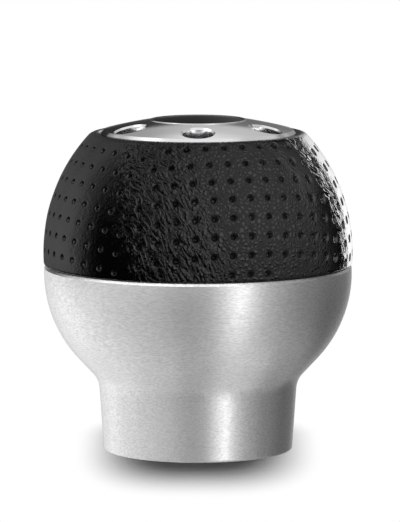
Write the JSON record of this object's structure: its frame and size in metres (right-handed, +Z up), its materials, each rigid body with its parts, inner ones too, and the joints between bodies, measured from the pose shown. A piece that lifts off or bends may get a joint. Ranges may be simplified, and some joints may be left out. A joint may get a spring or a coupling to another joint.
{
  "type": "gear shift knob",
  "caption": "Ball-shaped gear shift knob: turned aluminium bell, leather-covered grip and domed metal cap with drilled holes, clamped on the lever by a split sleeve.",
  "frame": {"origin": "centre of the flat base of the neck", "axes": "+Z up the knob's axis of rotation, -Y towards the front"},
  "size_m": [0.05, 0.05, 0.054],
  "materials": {
    "brushed_aluminium": "turned and finely brushed round the axis",
    "core_plastic": "moulded",
    "black_leather": "punched grain leather, semi-gloss",
    "polished_aluminium": "polished",
    "black_gloss": "gloss",
    "screw_steel": "black oxide",
    "plated_steel": "zinc plated",
    "sleeve_plastic": "moulded"
  },
  "bodies": {
    "root": {"lower_body": "brushed_aluminium", "grip_core": "core_plastic", "leather_cover": "black_leather", "top_cap": "polished_aluminium", "centre_disc": "black_gloss", "centre_screw": "screw_steel", "adapter": "plated_steel", "reducing_sleeve": "sleeve_plastic", "grub_screws": "screw_steel"}
  },
  "joints": []
}
